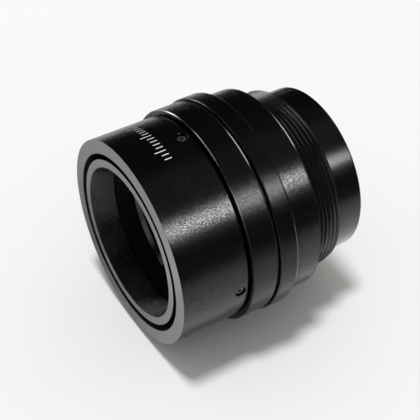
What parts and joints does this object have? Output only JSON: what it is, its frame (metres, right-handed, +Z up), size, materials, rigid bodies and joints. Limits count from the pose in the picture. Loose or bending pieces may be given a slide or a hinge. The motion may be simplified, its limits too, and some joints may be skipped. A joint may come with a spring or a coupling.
{
  "type": "barlow lens",
  "caption": "Stepped black lens barrel with a bored front sleeve, lock ring, threaded rear end and smooth rear collar, holding an air-spaced negative lens.",
  "frame": {"origin": "on the surface the barrel lies on, below the middle of its length and width", "axes": "+Y along the optical axis from the front face to the rear face, +Z up, +X to the right seen from the front"},
  "size_m": [0.0462, 0.0444, 0.0462],
  "materials": {
    "satin_black": "bead-blasted, black anodised, satin",
    "smooth_black": "fine turned, black anodised, semi-gloss",
    "matt_black": "matt black anti-reflection paint",
    "coated_glass": "polished, anti-reflection coated",
    "brass": "plain turned",
    "spring_steel": "blackened spring steel",
    "screw_steel": "black oxide"
  },
  "bodies": {
    "barrel": {"main_barrel": "satin_black", "index_ring": "satin_black"},
    "glass": {"front_element": "coated_glass", "element_spacer": "matt_black", "rear_element": "coated_glass", "seat_shim": "brass"},
    "front_group": {"front_sleeve": "satin_black", "lens_cell": "satin_black", "front_retaining_ring": "matt_black", "cell_baffle": "matt_black"},
    "lock": {"lock_ring": "satin_black"},
    "baffle": {"rear_baffle": "matt_black"},
    "rear_group": {"rear_collar": "smooth_black", "baffle_snap_ring": "spring_steel"},
    "tip_1": {"grub_screw_tip_1": "brass"},
    "tip_2": {"grub_screw_tip_2": "brass"},
    "tip_3": {"grub_screw_tip_3": "brass"},
    "tip_4": {"grub_screw_tip_4": "brass"},
    "screw_1": {"sleeve_grub_screw_1": "screw_steel"},
    "screw_2": {"sleeve_grub_screw_2": "screw_steel"},
    "screw_3": {"sleeve_grub_screw_3": "screw_steel"},
    "screw_4": {"sleeve_grub_screw_4": "screw_steel"}
  },
  "joints": [
    {"name": "front_travel", "type": "slide", "parent": "barrel", "child": "glass", "axis": [0, -1, 0], "range_m": [0, 0.0015]},
    {"name": "front_turn", "type": "hinge", "parent": "glass", "child": "front_group", "pos_m": [0, -0.0222, 0.0231], "axis": [0, -1, 0], "range_deg": [0, 720]},
    {"name": "lock_turn", "type": "hinge", "parent": "front_group", "child": "lock", "pos_m": [0, -0.0045, 0.0231], "axis": [0, -1, 0], "range_deg": [0, 90]},
    {"name": "rear_travel", "type": "slide", "parent": "barrel", "child": "baffle", "axis": [0, 1, 0], "range_m": [0, 0.0015]},
    {"name": "rear_turn", "type": "hinge", "parent": "baffle", "child": "rear_group", "pos_m": [0, 0.0222, 0.0231], "axis": [0, 1, 0], "range_deg": [0, 720]},
    {"name": "screw_1_travel", "type": "slide", "parent": "front_group", "child": "tip_1", "axis": [0.9962, 0, -0.0872], "range_m": [0, 0.00045]},
    {"name": "screw_1_turn", "type": "hinge", "parent": "tip_1", "child": "screw_1", "pos_m": [0.01982, -0.0095, 0.02137], "axis": [0.9962, 0, -0.0872], "range_deg": [0, 360]},
    {"name": "screw_2_travel", "type": "slide", "parent": "front_group", "child": "tip_2", "axis": [0.0262, 0, 0.9997], "range_m": [0, 0.00045]},
    {"name": "screw_2_turn", "type": "hinge", "parent": "tip_2", "child": "screw_2", "pos_m": [0.00052, -0.0095, 0.04299], "axis": [0.0262, 0, 0.9997], "range_deg": [0, 360]},
    {"name": "screw_3_travel", "type": "slide", "parent": "front_group", "child": "tip_3", "axis": [-0.9962, 0, 0.0872], "range_m": [0, 0.00045]},
    {"name": "screw_3_turn", "type": "hinge", "parent": "tip_3", "child": "screw_3", "pos_m": [-0.01982, -0.0095, 0.02483], "axis": [-0.9962, 0, 0.0872], "range_deg": [0, 360]},
    {"name": "screw_4_travel", "type": "slide", "parent": "front_group", "child": "tip_4", "axis": [-0.0262, 0, -0.9997], "range_m": [0, 0.00045]},
    {"name": "screw_4_turn", "type": "hinge", "parent": "tip_4", "child": "screw_4", "pos_m": [-0.00052, -0.0095, 0.00321], "axis": [-0.0262, 0, -0.9997], "range_deg": [0, 360]}
  ],
  "couplings": [
    {"joint": "front_travel", "follows": "front_turn", "m_per_rad": 0.00011937},
    {"joint": "rear_travel", "follows": "rear_turn", "m_per_rad": 0.00011937},
    {"joint": "screw_1_turn", "follows": "screw_1_travel", "rad_per_m": 13962},
    {"joint": "screw_2_turn", "follows": "screw_2_travel", "rad_per_m": 13962},
    {"joint": "screw_3_turn", "follows": "screw_3_travel", "rad_per_m": 13962},
    {"joint": "screw_4_turn", "follows": "screw_4_travel", "rad_per_m": 13962}
  ]
}
